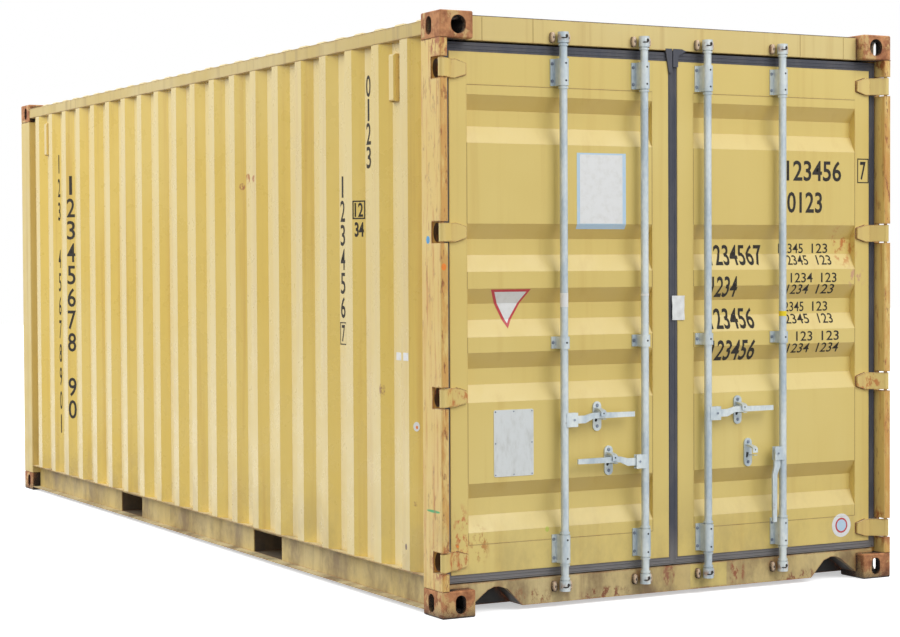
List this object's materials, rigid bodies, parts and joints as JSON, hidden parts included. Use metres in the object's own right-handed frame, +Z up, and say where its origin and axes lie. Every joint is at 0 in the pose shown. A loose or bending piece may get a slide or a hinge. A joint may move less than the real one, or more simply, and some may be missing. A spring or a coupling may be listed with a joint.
{
  "type": "shipping container",
  "caption": "Steel freight container, ribbed walls, hinged end doors with turning locking bars and lift handles, hollow corner castings and fork pockets",
  "frame": {"origin": "centre of the rectangle of the four bottom corner castings, on the ground", "axes": "+X towards the doors along the length, +Y to the right of a person facing the doors, +Z up"},
  "size_m": [6.058, 2.438, 2.591],
  "materials": {
    "wall_paint": "weathered satin",
    "roof_paint": "weathered satin",
    "frame_paint": "weathered satin",
    "door_paint": "satin",
    "hinge_paint": "worn satin",
    "rail_paint": "dirty satin",
    "base_paint": "matt, dirty",
    "casting_paint": "rusty",
    "keeper_steel": "rusty",
    "bar_zinc": "dull galvanised",
    "seal_rubber": "matt",
    "floor_ply": "matt, sealed",
    "plate_metal": "dull"
  },
  "bodies": {
    "container": {"corner_castings_bottom": "casting_paint", "corner_castings_top": "casting_paint", "bottom_rail_left": "rail_paint", "bottom_rail_right": "rail_paint", "cross_members": "base_paint", "forklift_pockets": "base_paint", "floor_boards": "floor_ply", "door_sill": "frame_paint", "door_header": "frame_paint", "door_post_left": "frame_paint", "door_post_right": "frame_paint", "front_post_left": "frame_paint", "front_post_right": "frame_paint", "front_sill": "rail_paint", "front_header": "frame_paint", "front_wall": "wall_paint", "side_wall_left": "wall_paint", "side_wall_right": "wall_paint", "top_rail_left": "frame_paint", "top_rail_right": "frame_paint", "roof_panel": "roof_paint", "side_vents": "wall_paint", "hinge_lugs_left": "hinge_paint", "hinge_lugs_right": "hinge_paint", "cam_keepers": "keeper_steel"},
    "door_left_leaf": {"door_frame_left": "door_paint", "door_panel_left": "door_paint", "door_gasket_left": "seal_rubber", "hinge_blades_left": "hinge_paint", "bar_brackets_left": "bar_zinc", "handle_catches_left": "bar_zinc", "data_plate": "plate_metal"},
    "door_right_leaf": {"door_frame_right": "door_paint", "door_panel_right": "door_paint", "door_gasket_right": "seal_rubber", "hinge_blades_right": "hinge_paint", "bar_brackets_right": "bar_zinc", "handle_catches_right": "bar_zinc"},
    "bar_1": {"locking_bar_1": "bar_zinc"},
    "lever_1": {"handle_1": "bar_zinc"},
    "bar_2": {"locking_bar_2": "bar_zinc"},
    "lever_2": {"handle_2": "bar_zinc"},
    "bar_3": {"locking_bar_3": "bar_zinc"},
    "lever_3": {"handle_3": "bar_zinc"},
    "bar_4": {"locking_bar_4": "bar_zinc"},
    "lever_4": {"handle_4": "bar_zinc"}
  },
  "joints": [
    {"name": "door_left_hinge", "type": "hinge", "parent": "container", "child": "door_left_leaf", "pos_m": [3.011, -1.202, 1.2], "axis": [0, 0, -1], "range_deg": [0, 260]},
    {"name": "door_right_hinge", "type": "hinge", "parent": "container", "child": "door_right_leaf", "pos_m": [3.011, 1.202, 1.2], "axis": [0, 0, 1], "range_deg": [0, 260]},
    {"name": "bar_1_turn", "type": "hinge", "parent": "door_left_leaf", "child": "bar_1", "pos_m": [3.005, -0.595, 1.3], "axis": [0, 0, 1], "range_deg": [-110, 0]},
    {"name": "bar_2_turn", "type": "hinge", "parent": "door_left_leaf", "child": "bar_2", "pos_m": [3.005, -0.172, 1.3], "axis": [0, 0, -1], "range_deg": [-110, 0]},
    {"name": "bar_3_turn", "type": "hinge", "parent": "door_right_leaf", "child": "bar_3", "pos_m": [3.005, 0.172, 1.3], "axis": [0, 0, 1], "range_deg": [-110, 0]},
    {"name": "bar_4_turn", "type": "hinge", "parent": "door_right_leaf", "child": "bar_4", "pos_m": [3.005, 0.595, 1.3], "axis": [0, 0, -1], "range_deg": [-110, 0]},
    {"name": "handle_1_lift", "type": "hinge", "parent": "bar_1", "child": "lever_1", "pos_m": [3.013, -0.555, 0.826], "axis": [-1, 0, 0], "range_deg": [-25, 0]},
    {"name": "handle_2_lift", "type": "hinge", "parent": "bar_2", "child": "lever_2", "pos_m": [3.013, -0.212, 0.626], "axis": [1, 0, 0], "range_deg": [-25, 0]},
    {"name": "handle_3_lift", "type": "hinge", "parent": "bar_3", "child": "lever_3", "pos_m": [3.013, 0.212, 0.826], "axis": [-1, 0, 0], "range_deg": [-25, 0]},
    {"name": "handle_4_lift", "type": "hinge", "parent": "bar_4", "child": "lever_4", "pos_m": [3.013, 0.555, 0.626], "axis": [1, 0, 0], "range_deg": [-60, 0]}
  ]
}
